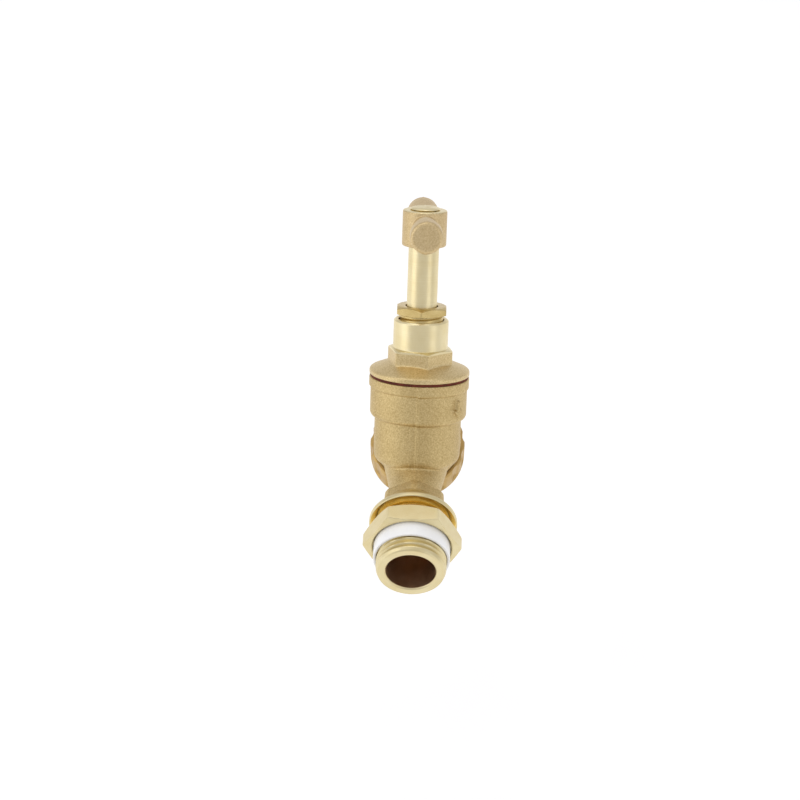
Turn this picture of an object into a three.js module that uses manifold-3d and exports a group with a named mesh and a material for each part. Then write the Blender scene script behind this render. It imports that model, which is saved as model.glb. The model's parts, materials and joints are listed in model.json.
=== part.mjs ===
// Hose-union bib tap: a half-inch screw-down wall tap with a crutch handle on an inclined
// headgear, a parallel-threaded inlet tail with flange and backnut, and a hose union outlet.
//
// Millimetres, +Z up. The origin is the centre of the inlet flange's wall-side face.
// +Y runs along the inlet tail into the wall, so the tap stands out towards -Y.
// Three axes lie in the plane X = 0: the inlet axis, the stem axis and the outlet axis.
// Along each of them a piece is drawn as [radius, height] points, with +Z along the axis.

import * as THREE from 'three';
import { mergeVertices } from 'three/addons/utils/BufferGeometryUtils.js';
import Module from 'manifold-3d';

const wasm = await Module();
wasm.setup();

// ---------------------------------------------------------------- driving dimensions

const CLEARANCE = 0.3; // gap between pieces that touch or slide on each other

// Axes
const INLET_REACH = 25.9; // flange face to the point where the inlet and stem axes cross
const STEM_TILT = 30; // degrees, stem axis away from vertical, leaning away from the wall
const OUTLET_TILT = 22; // degrees, outlet axis away from straight down, leaning away from the wall
const OUTLET_RISE = 16; // height on the stem axis where the outlet axis crosses it

// Pipe threads: G 1/2 on the inlet tail, G 3/4 on the outlet spigot
const PIPE_PITCH = 25.4 / 14;
const TAIL_CREST = 20.955 / 2;
const TAIL_ROOT = 18.631 / 2;
const SPIGOT_CREST = 26.441 / 2;
const SPIGOT_ROOT = 24.117 / 2;

// Inlet, heights measured from the flange face along +Y
const TAIL_END = 18.75;
const TAIL_BORE = 7.35;
const FLANGE_RADIUS = 13.25;
const FLANGE_THICKNESS = 1.4;
const UNDERCUT_RADIUS = 10.8; // relief round the foot of the inlet thread
const TAIL_FACE_RADIUS = 9.7;
const BRANCH_RADIUS = 8;
const BRANCH_BORE = 5.75;

// Body barrel, heights measured along the stem from the crossing point
const BARREL_BOTTOM = 0.5;
const BARREL_RADIUS = 13.3;
const BAND_BOTTOM = 15.3;
const BAND_RADIUS = 14.8;
const RIM_RADIUS = 15.3;
const BODY_TOP = 27.75;
const CHAMBER_RADIUS = 10.3;
const CHAMBER_FLOOR = 4.4;
const SEAT_HEIGHT = 5.6;
const SEAT_BORE = 6.35;
const BONNET_BORE = 11.9;
const BOWL_RADIUS = 9.9; // the round bottom of the body, under the seat
const SHOULDER_RADIUS = 13.7; // end of the cast outlet branch, just short of the union nut

// Headgear, heights along the stem
const FLANGE_SEAT = 29.05; // underside of the bonnet flange
const HEX_BASE = 32.6;
const HEX_TOP = 37;
const BONNET_FLATS = 17.8;
const BONNET_TURN = 105; // degrees, one corner of the bonnet hexagon about the stem, from +X
const NECK_RADIUS = 8.35;
const NECK_TOP = 45.9;
const GLAND_FLATS = 14.9;
const GLAND_TURN = 91;
const GLAND_HEX_BASE = 47.4;
const GLAND_TOP = 49.9;
const SPINDLE_RADIUS = 4.6;
const SPINDLE_THREAD = 6.2;
const PACKING_FLOOR = 36.6;
const PACKING_RADIUS = 6;
const PACKING_BORE = 4.9;
const WASHER_THICKNESS = 0.6;
const RING_THICKNESS = 1;
const RING_COUNT = 3;

// Crutch handle
const HUB_RADIUS = 6.7;
const HUB_BOTTOM = 68.3;
const HUB_TOP = 79.2;
const BAR_HEIGHT = 74.6; // axis of the bar, a little above the middle of the hub
const BAR_LENGTH = 50;
const BAR_END_RADIUS = 5;
const BAR_WAIST_RADIUS = 3.6;
const BAR_TURN = 92.4; // degrees, direction of the bar about the stem, from +X
const SQUARE_HALF = 3; // half of the spindle's squared end

// Backnut on the tail, heights along +Y
const BACKNUT_FLATS = 25.7;
const BACKNUT_NEAR = 3.3;
const BACKNUT_FAR = 9.3;
const TAIL_WASHER_RADIUS = 11.4;
const TAIL_WASHER_NEAR = 7.5;
const TAIL_WASHER_FAR = 13.8;

// Hose union, heights along the outlet axis
const SPIGOT_END = 28.6;
const UNION_NEAR = 23.5;
const UNION_FAR = 34.3;
const UNION_RADIUS = 15;
const UNION_FLUTES = 16;
const FLUTE_RADIUS = 3.2;
const FLUTE_DEPTH = 0.6;
const HOSE_TAIL_END = 62;
const HOSE_BORE = 4.6;
const BARB_CREST = 7.2;
const BARB_ROOT = 6.3;
const BARB_COUNT = 4;
const BARB_PITCH = 5.6;

const FINE = 28; // facets round a large turned piece
const COARSE = 16; // facets round a small one

// ---------------------------------------------------------------- geometry helpers

const radians = THREE.MathUtils.degToRad;

// A closed geometry as a manifold solid, with its faces pointing out.
function solid(geometry) {
  geometry.deleteAttribute('normal');
  geometry.deleteAttribute('uv');
  const merged = mergeVertices(geometry, 1e-4);
  const position = merged.attributes.position;
  const corner = [new THREE.Vector3(), new THREE.Vector3(), new THREE.Vector3()];
  const triangles = [];
  let volume = 0;
  for (let i = 0; i < merged.index.count; i += 3) {
    const triangle = [0, 1, 2].map((k) => merged.index.getX(i + k));
    if (new Set(triangle).size < 3) continue; // a sliver that closed up on the axis
    triangles.push(triangle);
    triangle.forEach((vertex, k) => corner[k].fromBufferAttribute(position, vertex));
    volume += corner[0].dot(corner[1].clone().cross(corner[2]));
  }
  if (volume < 0) triangles.forEach((triangle) => triangle.reverse());
  return new wasm.Manifold(new wasm.Mesh({
    numProp: 3,
    vertProperties: new Float32Array(position.array),
    triVerts: new Uint32Array(triangles.flat()),
  }));
}

// A manifold solid back as a three.js geometry.
function geometryOf(shape) {
  const mesh = shape.getMesh();
  const geometry = new THREE.BufferGeometry();
  geometry.setAttribute('position', new THREE.BufferAttribute(mesh.vertProperties, 3));
  geometry.setIndex(new THREE.BufferAttribute(mesh.triVerts, 1));
  geometry.computeVertexNormals();
  return geometry;
}

// A turned solid about +Z from [radius, height] points; place moves it into another frame.
function turned(points, segments = FINE, place = new THREE.Matrix4()) {
  const profile = points.map(([radius, height]) => new THREE.Vector2(radius, height));
  const geometry = new THREE.LatheGeometry(profile, segments);
  geometry.rotateX(Math.PI / 2);
  geometry.applyMatrix4(place);
  return solid(geometry);
}

// A turned ring: the profile closes on itself instead of on the axis.
function ring(inner, outer, bottom, top, segments = FINE) {
  return turned([[inner, bottom], [outer, bottom], [outer, top], [inner, top], [inner, bottom]], segments);
}

// A cylinder on the axis.
function rod(radius, bottom, top, segments = FINE, place = undefined) {
  return turned([[0, bottom], [radius, bottom], [radius, top], [0, top]], segments, place);
}

function ball(radius, place) {
  const geometry = new THREE.SphereGeometry(radius, COARSE, COARSE / 2);
  geometry.applyMatrix4(place);
  return solid(geometry);
}

// A hexagonal prism with one corner at the given angle from +X.
function hexagon(flats, bottom, top, cornerAngle) {
  const radius = flats / Math.sqrt(3);
  const geometry = new THREE.CylinderGeometry(radius, radius, top - bottom, 6);
  geometry.rotateX(Math.PI / 2);
  geometry.rotateZ(radians(cornerAngle + 90));
  geometry.translate(0, 0, (bottom + top) / 2);
  return solid(geometry);
}

// The turned blank that bevels a hexagon's corners: the bevel in degrees at either end, or 0.
function bevelBlank(flats, bottom, top, bottomBevel, topBevel) {
  const corner = flats / Math.sqrt(3) + 0.5;
  const flat = flats / 2 - 0.2;
  const bottomCut = (corner - flat) * Math.tan(radians(bottomBevel));
  const topCut = (corner - flat) * Math.tan(radians(topBevel));
  return turned([
    [0, bottom],
    ...(bottomBevel ? [[flat, bottom]] : []),
    [corner, bottom + bottomCut],
    [corner, top - topCut],
    ...(topBevel ? [[flat, top]] : []),
    [0, top],
  ]);
}

// Points along a circular arc, angles in degrees from the radius direction.
function arc(radius, height, size, from, to, steps = 5) {
  return Array.from({ length: steps + 1 }, (_, i) => {
    const angle = radians(from + ((to - from) * i) / steps);
    return [radius + size * Math.cos(angle), height + size * Math.sin(angle)];
  });
}

// The outline of a pipe thread as parallel ridges, one pitch apart.
function ridges(root, crest, start, count) {
  return Array.from({ length: count }, (_, i) => {
    const foot = start + i * PIPE_PITCH;
    return [[root, foot], [crest, foot + PIPE_PITCH * 0.4], [crest, foot + PIPE_PITCH * 0.6]];
  }).flat();
}

// ---------------------------------------------------------------- the three axes

const stemFrame = new THREE.Matrix4()
  .makeRotationX(radians(STEM_TILT))
  .setPosition(0, -INLET_REACH, 0);
const inletFrame = new THREE.Matrix4().makeRotationX(-Math.PI / 2);
const outletStart = new THREE.Vector3(0, 0, OUTLET_RISE).applyMatrix4(stemFrame);
const outletFrame = new THREE.Matrix4()
  .makeRotationX(Math.PI - radians(OUTLET_TILT))
  .setPosition(outletStart);

// ---------------------------------------------------------------- the pieces

// The cast body: barrel, bowl under the seat, inlet branch with flange and tail, outlet spigot.
function body() {
  const barrel = turned([
    [0, BARREL_BOTTOM],
    ...arc(BARREL_RADIUS - 3, BARREL_BOTTOM + 3, 3, -90, 0),
    [BARREL_RADIUS, BAND_BOTTOM],
    ...arc(BARREL_RADIUS, BAND_BOTTOM + 1.5, BAND_RADIUS - BARREL_RADIUS, -80, 0),
    [BAND_RADIUS, 24.5],
    [RIM_RADIUS, 25],
    [RIM_RADIUS, BODY_TOP],
    [0, BODY_TOP],
  ], FINE, stemFrame);
  const bowl = ball(BOWL_RADIUS, stemFrame);
  const inlet = turned([
    [0, -INLET_REACH],
    [9.2, -INLET_REACH],
    [9.2, -22],
    [BRANCH_RADIUS, -15.5],
    [BRANCH_RADIUS, -9.6],
    [8.9, -9.2],
    [9.8, -5.8],
    [10.7, -4.1],
    [12.9, -FLANGE_THICKNESS - 0.3],
    [FLANGE_RADIUS, -FLANGE_THICKNESS],
    [FLANGE_RADIUS, -0.25],
    [FLANGE_RADIUS - 0.25, 0],
    [UNDERCUT_RADIUS, 0],
    [UNDERCUT_RADIUS, -0.5],
    [TAIL_ROOT, -0.5],
    ...ridges(TAIL_ROOT, TAIL_CREST, 2.4, 8),
    [TAIL_ROOT, TAIL_END - 1.75],
    [TAIL_CREST - 0.4, TAIL_END - 1.3],
    [TAIL_FACE_RADIUS, TAIL_END],
    [0, TAIL_END],
  ], FINE, inletFrame);
  const outlet = turned([
    [0, 6],
    [11.6, 6],
    [12.2, 14],
    [SHOULDER_RADIUS - 0.3, 20],
    [SHOULDER_RADIUS, 20.6],
    [SHOULDER_RADIUS, 22.7],
    [SPIGOT_ROOT, 23],
    ...ridges(SPIGOT_ROOT, SPIGOT_CREST, 23.1, 3),
    [SPIGOT_ROOT, SPIGOT_END],
    [0, SPIGOT_END],
  ], FINE, outletFrame);

  const chamber = turned([
    [0, SEAT_HEIGHT],
    [7.6, SEAT_HEIGHT],
    [8.2, CHAMBER_FLOOR],
    [CHAMBER_RADIUS, CHAMBER_FLOOR],
    [CHAMBER_RADIUS, 19.3],
    [BONNET_BORE, 19.6],
    [BONNET_BORE, BODY_TOP + 2],
    [0, BODY_TOP + 2],
  ], FINE, stemFrame);
  const seatBore = rod(SEAT_BORE, -1, SEAT_HEIGHT + 1, COARSE, stemFrame);
  const underSeat = ball(SEAT_BORE + 0.25, stemFrame);
  const inletBore = turned([
    [0, -INLET_REACH],
    [BRANCH_BORE, -INLET_REACH],
    [BRANCH_BORE, -3],
    [TAIL_BORE, -1],
    [TAIL_BORE, TAIL_END + 1],
    [0, TAIL_END + 1],
  ], FINE, inletFrame);
  const portFrame = new THREE.Matrix4()
    .makeRotationX(Math.PI / 2)
    .setPosition(0, 0, 9.9)
    .premultiply(stemFrame);
  const port = rod(4.6, 8.2, 13.2, COARSE, portFrame);
  const passage = turned([
    [0, 14],
    [5, 14],
    [5, 22.5],
    [8, 25],
    [8, SPIGOT_END + 1],
    [0, SPIGOT_END + 1],
  ], COARSE, outletFrame);

  return [bowl, inlet, outlet].reduce((sum, piece) => sum.add(piece), barrel)
    .subtract(chamber)
    .subtract(seatBore)
    .subtract(underSeat)
    .subtract(inletBore)
    .subtract(port)
    .subtract(passage);
}

// The flat fibre ring that seals the bonnet flange on the body rim.
function bonnetGasket() {
  return ring(BONNET_BORE, RIM_RADIUS - 0.3, BODY_TOP + CLEARANCE, FLANGE_SEAT - CLEARANCE);
}

// The bonnet: threaded shank, flange, spanner hexagon and the neck that holds the packing.
function bonnet() {
  const outside = turned([
    [0, 20],
    [BONNET_BORE - 0.7, 20],
    [BONNET_BORE - CLEARANCE, 20.4],
    [BONNET_BORE - CLEARANCE, FLANGE_SEAT],
    [RIM_RADIUS, FLANGE_SEAT],
    [RIM_RADIUS, 30],
    [RIM_RADIUS - 0.4, 30.4],
    [BONNET_FLATS / 2, HEX_BASE],
    [NECK_RADIUS, HEX_TOP],
    [NECK_RADIUS, NECK_TOP - 0.6],
    [NECK_RADIUS - 0.6, NECK_TOP],
    [0, NECK_TOP],
  ]);
  const hex = hexagon(BONNET_FLATS, 31, HEX_TOP, BONNET_TURN)
    .intersect(bevelBlank(BONNET_FLATS, 30, HEX_TOP, 0, 20));
  const inside = turned([
    [0, 19],
    [SPINDLE_THREAD + CLEARANCE, 19],
    [SPINDLE_THREAD + CLEARANCE, 34.3],
    [PACKING_BORE, 34.3],
    [PACKING_BORE, PACKING_FLOOR],
    [PACKING_RADIUS + CLEARANCE, PACKING_FLOOR],
    [PACKING_RADIUS + CLEARANCE, 42.3],
    [7, 42.4],
    [7, NECK_TOP + 1],
    [0, NECK_TOP + 1],
  ]);
  return outside.add(hex).subtract(inside);
}

// The gland nut: a short threaded shank under a thin hexagon, turned down to squeeze the packing.
function glandNut() {
  const shank = rod(6.7, 42.6, GLAND_HEX_BASE + 0.5, COARSE);
  const head = hexagon(GLAND_FLATS, GLAND_HEX_BASE, GLAND_TOP, GLAND_TURN)
    .intersect(bevelBlank(GLAND_FLATS, GLAND_HEX_BASE, GLAND_TOP, 15, 30));
  return shank.add(head).subtract(rod(4.95, 42, GLAND_TOP + 1, COARSE));
}

// The stack in the neck, from the packing floor up: a washer, the packing rings, the follower.
function packingStack() {
  const thicknesses = [
    ['packing_washer', WASHER_THICKNESS],
    ...Array.from({ length: RING_COUNT }, (_, i) => [`packing_ring_${i + 1}`, RING_THICKNESS]),
    ['gland_follower', WASHER_THICKNESS],
  ];
  let bottom = PACKING_FLOOR + CLEARANCE;
  return thicknesses.map(([name, thickness]) => {
    const piece = ring(PACKING_BORE, PACKING_RADIUS, bottom, bottom + thickness, COARSE);
    bottom += thickness + CLEARANCE;
    return [name, piece];
  });
}

// The spindle: bored foot for the jumper, running thread, shaft, squared end and riveted dome.
function spindle() {
  const shaft = turned([
    [0, 23.2],
    [3.15, 23.2],
    [3.15, 12],
    [5.2, 12],
    [5.4, 12.3],
    [5.4, 15],
    [SPINDLE_THREAD, 15.8],
    [SPINDLE_THREAD, 27.2],
    [SPINDLE_RADIUS, 28.2],
    [SPINDLE_RADIUS, HUB_BOTTOM - CLEARANCE],
    [0, HUB_BOTTOM - CLEARANCE],
  ], COARSE);
  const squareHeight = HUB_TOP + 1 - (HUB_BOTTOM - 1);
  const square = new THREE.BoxGeometry(2 * SQUARE_HALF, 2 * SQUARE_HALF, squareHeight);
  square.translate(0, 0, HUB_BOTTOM - 1 + squareHeight / 2);
  const dome = turned([
    [0, HUB_TOP + CLEARANCE],
    [4.6, HUB_TOP + CLEARANCE],
    ...arc(0, HUB_TOP - 12.85, 14, 71.2, 90, 4),
  ], COARSE);
  return shaft.add(solid(square)).add(dome);
}

// The crutch handle: a hub with a square hole and a round bar through it.
function crutchHandle() {
  const hub = turned([
    [0, HUB_BOTTOM],
    ...arc(HUB_RADIUS - 0.6, HUB_BOTTOM + 0.6, 0.6, -90, 0, 3),
    ...arc(HUB_RADIUS - 0.5, HUB_TOP - 0.5, 0.5, 0, 90, 3),
    [0, HUB_TOP],
  ]);
  const half = BAR_LENGTH / 2;
  const barFrame = new THREE.Matrix4()
    .makeRotationZ(radians(BAR_TURN + 90))
    .multiply(new THREE.Matrix4().makeRotationX(Math.PI / 2))
    .setPosition(0, 0, BAR_HEIGHT);
  const bar = turned([
    [0, -half],
    ...arc(BAR_END_RADIUS - 0.7, -half + 0.7, 0.7, -90, 0, 3),
    [BAR_END_RADIUS, -half + 6],
    [BAR_WAIST_RADIUS, -7],
    [BAR_WAIST_RADIUS, 7],
    [BAR_END_RADIUS, half - 6],
    ...arc(BAR_END_RADIUS - 0.7, half - 0.7, 0.7, 0, 90, 3),
    [0, half],
  ], COARSE, barFrame);
  const holeSide = 2 * (SQUARE_HALF + CLEARANCE);
  const hole = new THREE.BoxGeometry(holeSide, holeSide, 20);
  hole.translate(0, 0, (HUB_BOTTOM + HUB_TOP) / 2);
  return hub.add(bar).subtract(solid(hole));
}

// The jumper: a plate that carries the washer, loose in the foot of the spindle.
function jumper() {
  return turned([
    [0, 2.6],
    [2.1, 2.6],
    [2.3, 2.8],
    [2.3, 9.5],
    [9.2, 9.5],
    [9.2, 11.2],
    [8.7, 11.7],
    [2.85, 11.7],
    [2.85, 22.6],
    [2.5, 22.9],
    [0, 22.9],
  ], COARSE);
}

function jumperNut() {
  return hexagon(8, 3, 5.6, 90).subtract(rod(2.6, 2, 7, COARSE));
}

// The backnut: a thin hexagon with a recess in its far face for the white sealing washer.
function backnut() {
  const recess = TAIL_WASHER_NEAR - CLEARANCE;
  const bore = turned([
    [0, BACKNUT_NEAR - 1],
    [TAIL_CREST + CLEARANCE, BACKNUT_NEAR - 1],
    [TAIL_CREST + CLEARANCE, recess],
    [TAIL_WASHER_RADIUS + CLEARANCE, recess],
    [TAIL_WASHER_RADIUS + CLEARANCE, BACKNUT_FAR + 1],
    [0, BACKNUT_FAR + 1],
  ]);
  return hexagon(BACKNUT_FLATS, BACKNUT_NEAR, BACKNUT_FAR, 0)
    .intersect(bevelBlank(BACKNUT_FLATS, BACKNUT_NEAR, BACKNUT_FAR, 0, 20))
    .subtract(bore);
}

// The union nut: a round fluted nut whose lip draws the hose tail on to the spigot.
function unionNut() {
  const blank = turned([
    [SPIGOT_CREST + CLEARANCE, UNION_NEAR],
    [UNION_RADIUS - 0.6, UNION_NEAR],
    [UNION_RADIUS, UNION_NEAR + 0.6],
    [UNION_RADIUS, UNION_FAR - 1.5],
    [UNION_RADIUS - 1.5, UNION_FAR],
    [8.2, UNION_FAR],
    [8.2, 33],
    [SPIGOT_CREST + CLEARANCE, 33],
    [SPIGOT_CREST + CLEARANCE, UNION_NEAR],
  ], 2 * UNION_FLUTES);
  const flutes = Array.from({ length: UNION_FLUTES }, (_, i) => {
    const angle = ((i + 0.5) * 2 * Math.PI) / UNION_FLUTES;
    const reach = UNION_RADIUS + FLUTE_RADIUS - FLUTE_DEPTH;
    const place = new THREE.Matrix4().makeTranslation(reach * Math.cos(angle), reach * Math.sin(angle), 0);
    return rod(FLUTE_RADIUS, UNION_NEAR - 1, UNION_FAR - 2.5, 12, place);
  });
  return flutes.reduce((nut, flute) => nut.subtract(flute), blank);
}

// The hose tail: a collar under the union nut's lip and a barbed stem for the hose.
function hoseTail() {
  const barbs = Array.from({ length: BARB_COUNT }, (_, i) => {
    const foot = HOSE_TAIL_END - (BARB_COUNT - i) * BARB_PITCH;
    return [[BARB_CREST, foot], [BARB_CREST, foot + 0.8], [BARB_ROOT, foot + BARB_PITCH]];
  }).flat();
  return turned([
    [HOSE_BORE, 30.7],
    [12.9, 30.7],
    [12.9, 32.7],
    [7.7, 32.7],
    [7.7, 36],
    [BARB_ROOT, 37.4],
    ...barbs,
    [HOSE_BORE, HOSE_TAIL_END],
    [HOSE_BORE, 30.7],
  ]);
}

// ---------------------------------------------------------------- materials

const finish = {
  castBrass: { color: 0xbfa677, roughness: 0.55, metalness: 1 },
  turnedBrass: { color: 0xe1d0a0, roughness: 0.28, metalness: 1 },
  fibre: { color: 0x3a1c16, roughness: 0.85, metalness: 0 },
  rubber: { color: 0x17181a, roughness: 0.8, metalness: 0 },
  graphite: { color: 0x3b3b3d, roughness: 0.7, metalness: 0 },
  whitePlastic: { color: 0xf6f6f8, roughness: 0.4, metalness: 0 },
};

function named(name, shape, look) {
  const mesh = new THREE.Mesh(geometryOf(shape), new THREE.MeshStandardMaterial(look));
  mesh.name = name;
  return mesh;
}

// ---------------------------------------------------------------- the assembly

const stem = new THREE.Group();
stem.position.set(0, -INLET_REACH, 0);
stem.rotation.x = radians(STEM_TILT);
stem.add(
  named('bonnet_gasket', bonnetGasket(), finish.fibre),
  named('bonnet', bonnet(), finish.castBrass),
  named('gland_nut', glandNut(), finish.turnedBrass),
  named('spindle', spindle(), finish.turnedBrass),
  named('crutch_handle', crutchHandle(), finish.castBrass),
  named('jumper', jumper(), finish.turnedBrass),
  named('jumper_washer', ring(2.6, 9, SEAT_HEIGHT + CLEARANCE, 9.2, COARSE), finish.rubber),
  named('jumper_nut', jumperNut(), finish.turnedBrass),
);
for (const [name, piece] of packingStack()) {
  stem.add(named(name, piece, name.startsWith('packing_ring') ? finish.graphite : finish.turnedBrass));
}

const inlet = new THREE.Group();
inlet.rotation.x = -Math.PI / 2;
const tailWasher = ring(TAIL_CREST + CLEARANCE, TAIL_WASHER_RADIUS, TAIL_WASHER_NEAR, TAIL_WASHER_FAR);
inlet.add(
  named('backnut', backnut(), finish.turnedBrass),
  named('tail_washer', tailWasher, finish.whitePlastic),
);

const outlet = new THREE.Group();
outlet.position.copy(outletStart);
outlet.rotation.x = Math.PI - radians(OUTLET_TILT);
outlet.add(
  named('union_nut', unionNut(), finish.turnedBrass),
  named('union_washer', ring(9, 13, SPIGOT_END + CLEARANCE, 30.4), finish.rubber),
  named('hose_tail', hoseTail(), finish.turnedBrass),
);

const hoseBib = new THREE.Group();
hoseBib.add(named('body', body(), finish.castBrass), stem, inlet, outlet);

export default hoseBib;
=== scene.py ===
import json
import math

import bmesh
import bpy
import numpy as np
from mathutils import Matrix, Vector


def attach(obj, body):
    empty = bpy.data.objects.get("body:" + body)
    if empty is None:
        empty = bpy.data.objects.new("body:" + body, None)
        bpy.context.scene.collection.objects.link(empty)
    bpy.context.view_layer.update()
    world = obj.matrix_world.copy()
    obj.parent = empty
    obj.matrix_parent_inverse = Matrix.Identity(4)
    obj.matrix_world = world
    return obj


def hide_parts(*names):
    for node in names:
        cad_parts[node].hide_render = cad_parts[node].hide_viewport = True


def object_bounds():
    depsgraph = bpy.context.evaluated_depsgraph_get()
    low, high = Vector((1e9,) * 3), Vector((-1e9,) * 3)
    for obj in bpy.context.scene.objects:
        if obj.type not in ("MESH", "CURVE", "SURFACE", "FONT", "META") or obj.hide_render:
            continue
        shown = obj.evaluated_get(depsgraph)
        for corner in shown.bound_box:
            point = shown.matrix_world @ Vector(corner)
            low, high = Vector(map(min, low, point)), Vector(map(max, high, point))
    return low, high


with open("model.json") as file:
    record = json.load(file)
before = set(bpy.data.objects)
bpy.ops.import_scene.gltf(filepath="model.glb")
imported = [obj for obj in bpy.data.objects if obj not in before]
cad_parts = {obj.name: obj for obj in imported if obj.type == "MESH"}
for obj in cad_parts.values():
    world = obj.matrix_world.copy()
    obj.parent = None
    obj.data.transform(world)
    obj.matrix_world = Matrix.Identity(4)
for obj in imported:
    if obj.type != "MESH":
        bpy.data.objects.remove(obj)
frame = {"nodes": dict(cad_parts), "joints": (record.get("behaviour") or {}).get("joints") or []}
cad_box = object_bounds()

# The looks of a hose-union bib tap. Shapes are drawn in millimetres along the tap's three
# turning axes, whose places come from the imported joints; finished() brings them to metres.

MM = 0.001
JOINTS = {joint["name"]: joint for joint in frame["joints"]}


def axis_frame(joint_name):
    """A turning axis as a frame in millimetres: +Z along the axis, +X along the row's +X."""
    joint = JOINTS[joint_name]
    along = Vector(joint["axis"]).normalized()
    side = Vector((1, 0, 0))
    turn = Matrix((side, along.cross(side), along)).transposed().to_4x4()
    return Matrix.Translation(Vector(joint["pos_m"]) / MM) @ turn


STEM = axis_frame("handle_turn")
INLET = axis_frame("backnut_turn")
OUTLET = axis_frame("hose_nut_turn")


def span(node, axis):
    """(largest radius, lowest height, highest height) of a CAD node about an axis, in mm."""
    to_axis = axis.inverted()
    points = [to_axis @ (vertex.co / MM) for vertex in frame["nodes"][node].data.vertices]
    radius = max(math.hypot(point.x, point.y) for point in points)
    heights = [point.z for point in points]
    return radius, min(heights), max(heights)


# ------------------------------------------------------------------ driving dimensions, mm

PIPE_PITCH = 25.4 / 14
TAIL_CREST, TAIL_ROOT = 20.955 / 2, 18.631 / 2
SPIGOT_CREST, SPIGOT_ROOT = 26.441 / 2, 24.117 / 2
BRANCH_RADIUS, BRANCH_BORE = 8.0, 5.75
TAIL_BORE = 7.35
UNDERCUT_RADIUS, TAIL_FACE_RADIUS = 10.8, 9.7
THREAD_START = 1.05
COLLAR_START = -9.7
FLANGE_THICKNESS = 1.4
BARREL_RADIUS, BAND_RADIUS = 13.3, 14.8
BARREL_BOTTOM, BAND_BOTTOM = 0.5, 15.3
CHAMBER_RADIUS, CHAMBER_FLOOR = 10.3, 4.4
SEAT_HEIGHT, SEAT_BORE = 5.6, 6.35
BONNET_BORE = 11.9
BOWL_RADIUS = 9.9
SHOULDER_RADIUS, SHOULDER_TOP = 13.7, 22.7
HEX_BASE, HEX_TOP = 32.6, 37.0
BONNET_FLATS, BONNET_TURN = 17.8, 105
NECK_RADIUS = 8.35
GLAND_FLATS, GLAND_TURN = 14.9, 91
GLAND_HEX_BASE = 47.4
SPINDLE_RADIUS, PACKING_BORE = 4.6, 4.9
HUB_RADIUS = 6.7
BAR_WAIST, BAR_END = 3.6, 4.85
BAR_TURN, BAR_HEIGHT = 92.4, 74.6
BAR_HALF, BAR_ROUNDING = 25.0, 1.3
SQUARE_HALF = 3.0
FLUTES, FLUTE_DEPTH, FLUTE_SHARE = 16, 0.6, 0.6
BARB_COUNT, BARB_PITCH, BARB_CREST, BARB_ROOT = 4, 5.6, 7.2, 6.3
HOSE_BORE = 4.6

RIM_RADIUS, BONNET_BOTTOM, NECK_TOP = span("bonnet", STEM)
GASKET_RADIUS, GASKET_BOTTOM, GASKET_TOP = span("bonnet_gasket", STEM)
CAD_GAP = 0.3
BODY_TOP = GASKET_BOTTOM - 0.1
FLANGE_SEAT = GASKET_TOP
GLAND_BOTTOM, GLAND_TOP = span("gland_nut", STEM)[1:]
SPINDLE_FOOT, SPINDLE_TOP = span("spindle", STEM)[1:]
HUB_BOTTOM, HUB_TOP = 68.3, 79.2
TAIL_END = span("body", INLET)[2]
FLANGE_RADIUS = 13.25
BACKNUT_FLATS = 25.7
BACKNUT_NEAR, BACKNUT_FAR = span("backnut", INLET)[1:]
WASHER_RADIUS, WASHER_NEAR, WASHER_FAR = span("tail_washer", INLET)
UNION_RADIUS, UNION_NEAR, UNION_FAR = span("union_nut", OUTLET)
UNION_CHAMFER = 1.5
COLLAR_RADIUS, HOSE_NEAR, HOSE_END = span("hose_tail", OUTLET)
SPIGOT_END = span("union_washer", OUTLET)[1] - CAD_GAP


# ------------------------------------------------------------------ mesh helpers

def soften(points, radius, steps=3):
    """The outline with each corner rounded to the radius, or less where a side is short."""
    result = [points[0]]
    for before, corner, after in zip(points, points[1:], points[2:]):
        here = Vector(corner)
        back, on = Vector(before) - here, Vector(after) - here
        if back.length < 1e-6 or on.length < 1e-6 or abs(back.angle(on) - math.pi) < 0.05:
            result.append(corner)
            continue
        reach = min(radius, back.length * 0.45, on.length * 0.45)
        start, end = here + back.normalized() * reach, here + on.normalized() * reach
        for i in range(steps + 1):
            t = i / steps
            point = start * (1 - t) ** 2 + here * 2 * t * (1 - t) + end * t ** 2
            result.append((point.x, point.y))
    result.append(points[-1])
    return result


def arc(radius, height, size, start, end, steps=6):
    """Points on a circular arc of an outline, angles in degrees from the radius direction."""
    angles = [math.radians(start + (end - start) * i / steps) for i in range(steps + 1)]
    return [(radius + size * math.cos(a), height + size * math.sin(a)) for a in angles]


def around(segments, start=0.0):
    """The facets' angles about an axis, the first one at start degrees."""
    return np.arange(segments) * 2 * math.pi / segments + math.radians(start)


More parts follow.
